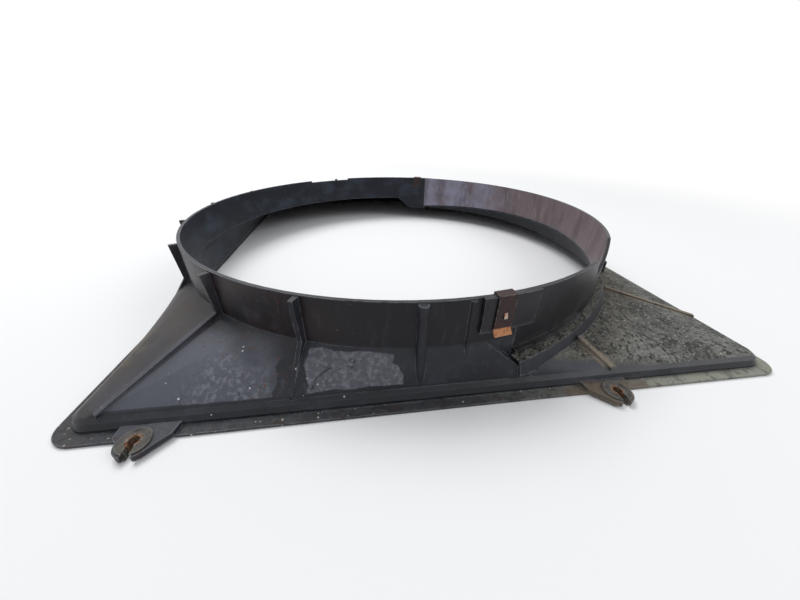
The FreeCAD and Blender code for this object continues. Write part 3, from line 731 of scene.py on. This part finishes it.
@dataclass
class Studio:
    """A pale floor, soft lamps and the camera."""

    floor_size: float = 60.0
    camera_out: tuple[float, float, float] = (-0.07189, -0.57211, 0.252)
    camera_turns: tuple[float, float, float] = (8.161, 30.852, 0.889)
    focal_length: float = 13.41
    floor_drop: float = 0.0002
    fade_start: float = 0.75
    fade_end: float = 1.7
    fill_strength: float = 0.5
    lamps: tuple[tuple[str, tuple[float, float, float], float, float], ...] = (
        ("key_lamp", (-0.9, 0.9, 2.5), 52.0, 1.6), ("side_lamp", (1.9, -1.1, 1.7), 16.0, 1.4))

    def build(self, lowest: float) -> None:
        """Set up everything round the object.

        Args:
            lowest: The height of the object's lowest point.
        """
        self.add_floor(lowest - self.floor_drop)
        self.add_world()
        self.add_lamps()
        self.add_camera()
        bpy.context.scene.view_settings.view_transform = "Standard"

    def seen_directly(self, tree: bpy.types.NodeTree) -> bpy.types.NodeSocket:
        """Give 1 for rays that show the backdrop itself.

        Args:
            tree: The node tree that asks.

        Returns:
            The socket, 1 for camera, glossy and transmission rays.
        """
        path = add_node(tree, "LightPath").outputs
        either = add_node(tree, "Math", {0: path["Is Camera Ray"], 1: path["Is Glossy Ray"]},
                          operation="MAXIMUM").outputs[0]
        return add_node(tree, "Math", {0: either, 1: path["Is Transmission Ray"]},
                        operation="MAXIMUM").outputs[0]

    def add_floor(self, height: float) -> None:
        """Lay a pale floor that fades into the white background.

        Args:
            height: The height of its surface.
        """
        mesh = bpy.data.meshes.new("floor")
        half = self.floor_size / 2
        mesh.from_pydata([(-half, -half, height), (half, -half, height), (half, half, height),
                          (-half, half, height)], [], [(0, 1, 2, 3)])
        floor = bpy.data.objects.new("floor", mesh)
        bpy.context.scene.collection.objects.link(floor)
        material = bpy.data.materials.new("floor_paper")
        material.use_nodes = True
        tree = material.node_tree
        tree.nodes.clear()
        paper = add_node(tree, "BsdfPrincipled", {"Base Color": linear("#f4f4f4"), "Roughness": 0.9,
                                                  "Specular IOR Level": 0.2})
        white = add_node(tree, "Emission", {"Color": (1, 1, 1, 1), "Strength": 1.0})
        place = add_node(tree, "TexCoord").outputs["Object"]
        reach = add_node(tree, "VectorMath", {0: place}, operation="LENGTH").outputs["Value"]
        fade = add_node(tree, "MapRange", {"Value": reach, "From Min": self.fade_start,
                                           "From Max": self.fade_end},
                        interpolation_type="SMOOTHSTEP").outputs[0]
        shown = add_node(tree, "Math", {0: fade, 1: self.seen_directly(tree)}, operation="MULTIPLY")
        mixed = add_node(tree, "MixShader", {0: shown.outputs[0], 1: paper.outputs[0],
                                             2: white.outputs[0]})
        add_node(tree, "OutputMaterial", {"Surface": mixed.outputs[0]})
        mesh.materials.append(material)
        floor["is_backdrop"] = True

    def add_world(self) -> None:
        """Fill the room with even light, and show it white."""
        world = bpy.data.worlds.new("studio")
        bpy.context.scene.world = world
        world.use_nodes = True
        tree = world.node_tree
        tree.nodes.clear()
        fill = add_node(tree, "Background", {"Color": linear("#f2f5fa"),
                                             "Strength": self.fill_strength})
        white = add_node(tree, "Background", {"Color": (1, 1, 1, 1), "Strength": 1.0})
        shown = self.seen_directly(tree)
        mixed = add_node(tree, "MixShader", {0: shown, 1: fill.outputs[0], 2: white.outputs[0]})
        add_node(tree, "OutputWorld", {"Surface": mixed.outputs[0]})

    def add_lamps(self) -> None:
        """Hang one broad lamp over the far left and a weaker one at the near right."""
        for name, place, power, size in self.lamps:
            light = bpy.data.lights.new(name, "AREA")
            light.energy, light.size = power, size
            lamp = bpy.data.objects.new(name, light)
            lamp.location = place
            lamp.rotation_euler = (-Vector(place)).to_track_quat("-Z", "Y").to_euler()
            bpy.context.scene.collection.objects.link(lamp)

    def add_camera(self) -> None:
        """Stand a wide lens close over the near edge, looking down across the ring."""
        yaw, pitch, roll = (math.radians(turn) for turn in self.camera_turns)
        ahead = Vector((math.sin(yaw) * math.cos(pitch), math.cos(yaw) * math.cos(pitch),
                        -math.sin(pitch)))
        level = Vector((math.cos(yaw), -math.sin(yaw), 0))
        across = level * math.cos(roll) + level.cross(ahead) * math.sin(roll)
        pose = Matrix((across, across.cross(ahead), -ahead)).transposed().to_4x4()
        pose.translation = ring_centre() + Vector(self.camera_out)
        lens = bpy.data.cameras.new("camera")
        lens.lens, lens.clip_start = self.focal_length, 0.01
        camera = bpy.data.objects.new("camera", lens)
        camera.matrix_world = pose
        bpy.context.scene.collection.objects.link(camera)
        bpy.context.scene.camera = camera


def dress(nodes: list[str], material: bpy.types.Material) -> None:
    """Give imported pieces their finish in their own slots.

    Args:
        nodes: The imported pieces' names.
        material: The finish's material.
    """
    for name in nodes:
        mesh = frame["nodes"][name].data
        if not mesh.materials:
            mesh.materials.append(material)
        for slot in range(len(mesh.materials)):
            mesh.materials[slot] = material
        log.info("%s: %s", name, material.name)


def solid_of(name: str, outline: list[tuple[float, float]], depth: float,
             place: Matrix) -> bpy.types.Object:
    """Make a bevelled plate from an outline.

    Args:
        name: The new piece's name.
        outline: The plate's corners in its own x and y, in metres.
        depth: Its thickness along its own z, in metres.
        place: Where it stands.

    Returns:
        The piece, with a small round on its edges.
    """
    body = bmesh.new()
    face = body.faces.new([body.verts.new((x, y, 0.0)) for x, y in outline])
    grown = bmesh.ops.extrude_face_region(body, geom=[face])
    moved = [part for part in grown["geom"] if isinstance(part, bmesh.types.BMVert)]
    bmesh.ops.translate(body, verts=moved, vec=(0, 0, depth))
    bmesh.ops.recalc_face_normals(body, faces=body.faces)
    bmesh.ops.bevel(body, geom=list(body.edges), offset=min(EDGE_ROUND, depth / 4),
                    segments=2, affect="EDGES")
    body.transform(place)
    mesh = bpy.data.meshes.new(name)
    body.to_mesh(mesh)
    body.free()
    piece = bpy.data.objects.new(name, mesh)
    bpy.context.scene.collection.objects.link(piece)
    return piece


@dataclass
class Pan:
    """The fixed moulding: flange, shoulder, dome, deck, fixed ring, ribs and ears.

    A thin web closes each end of the hollow collar under the loose segment.
    """

    node: str = "shroud_panel"
    web_turns: tuple[float, float] = (-75.95, 68.95)
    web_thickness: float = 0.0024
    web_inner: float = 0.3492
    web_outer: float = 0.3645
    web_foot: float = 0.019
    web_flare: float = 0.005
    web_foot_width: float = 0.008
    web_undercut: float = 0.006
    web_inner_step: float = 0.003
    seat_height: float = 0.0255
    seat_slope: float = 0.03124

    def build(self) -> None:
        """Dress the pan and close the collar's ends."""
        material = MouldedPolyamide().material()
        dress([self.node], material)
        for name, turn, way in zip(("collar_web_near", "collar_web_far"), self.web_turns, (1, -1)):
            self.add_web(name, math.radians(turn), way, material)

    def add_web(self, name: str, turn: float, way: int, material: bpy.types.Material) -> None:
        """Stand one web across the collar's hollow.

        Args:
            name: The web's name.
            turn: Its outer face's angle round the fan's axis, in radians.
            way: 1 if the collar goes on to the left of it, or -1.
            material: The pan's material.
        """
        top = self.seat_height + self.seat_slope * math.cos(turn)
        foot = self.web_outer + self.web_flare
        outline = [(self.web_inner, top), (self.web_outer, top), (foot, self.web_foot),
                   (foot - self.web_foot_width, self.web_foot),
                   (self.web_inner + self.web_inner_step, top - self.web_undercut)]
        spoke = Vector((math.cos(turn), math.sin(turn), 0))
        along = Vector((-math.sin(turn), math.cos(turn), 0)) * way
        place = Matrix((spoke, (0, 0, 1), along)).transposed().to_4x4()
        place.translation = ring_centre()
        web = solid_of(name, outline, self.web_thickness, place)
        web.data.materials.append(material)
        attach(web, "pan")
        log.info("%s: %s", name, material.name)


@dataclass
class Segment:
    """The part of the ring that lifts out past the fan."""

    node: str = "ring_segment"

    def build(self) -> None:
        """Dress the segment."""
        dress([self.node], SegmentPolyamide().material())


@dataclass
class Fastenings:
    """The two spring clips and the four rubber mounts with their steel sleeves."""

    tab_width: float = 0.0042
    tab_height: float = 0.0062
    tab_stand: float = 0.0004
    tab_sheet: float = 0.0009
    tab_taper: float = 0.8
    tab_lean: float = -14.0
    window_top: float = 0.018
    window_middle: float = 0.0225

    def build(self) -> None:
        """Dress the small pieces, one material for each kind, and add the clips' tabs."""
        nodes = list(frame["nodes"])
        for start, finish in (("clip_", SpringSteel()), ("grommet_", GrommetRubber()),
                              ("sleeve_", SleeveSteel())):
            dress([name for name in nodes if name.startswith(start)], finish.material())
        bright = TabSteel().material()
        for side in ("near", "far"):
            self.add_tab(side, bright)

    def add_tab(self, side: str, material: bpy.types.Material) -> None:
        """Bend one lanced tab out of a clip's window.

        Args:
            side: The clip's side, near or far.
            material: The bare metal of the tab.
        """
        low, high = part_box("clip_" + side)
        centre = ring_centre()
        middle = (low + high) / 2 - centre
        strap = frame["nodes"]["clip_" + side].data.vertices
        outside = max((v.co - centre).xy.length for v in strap if v.co.z > high.z - self.window_top)
        turn = math.atan2(middle.y, middle.x)
        spoke = Vector((math.cos(turn), math.sin(turn), 0))
        across = Vector((-math.sin(turn), math.cos(turn), 0))
        place = Matrix((across, (0, 0, 1), spoke)).transposed().to_4x4()
        lean = Matrix.Rotation(math.radians(self.tab_lean), 4, "X")
        place.translation = centre + spoke * (outside + self.tab_stand)
        place.translation.z = high.z - self.window_middle
        half = self.tab_width / 2
        tip = half * self.tab_taper
        outline = [(-half, -self.tab_height / 2), (half, -self.tab_height / 2),
                   (tip, self.tab_height / 2), (-tip, self.tab_height / 2)]
        tab = solid_of("clip_tab_" + side, outline, self.tab_sheet, place @ lean)
        tab.data.materials.append(material)
        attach(tab, side + "_clip")
        log.info("%s: %s", tab.name, material.name)


def main() -> None:
    """Dress the shroud piece by piece and light it, with the floor laid under its lowest point."""
    logging.basicConfig(level=logging.INFO, format="%(message)s")
    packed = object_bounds()
    for assembly in (Pan(), Segment(), Fastenings()):
        assembly.build()
    Studio().build(packed[0].z)


if __name__ == "__main__":
    main()
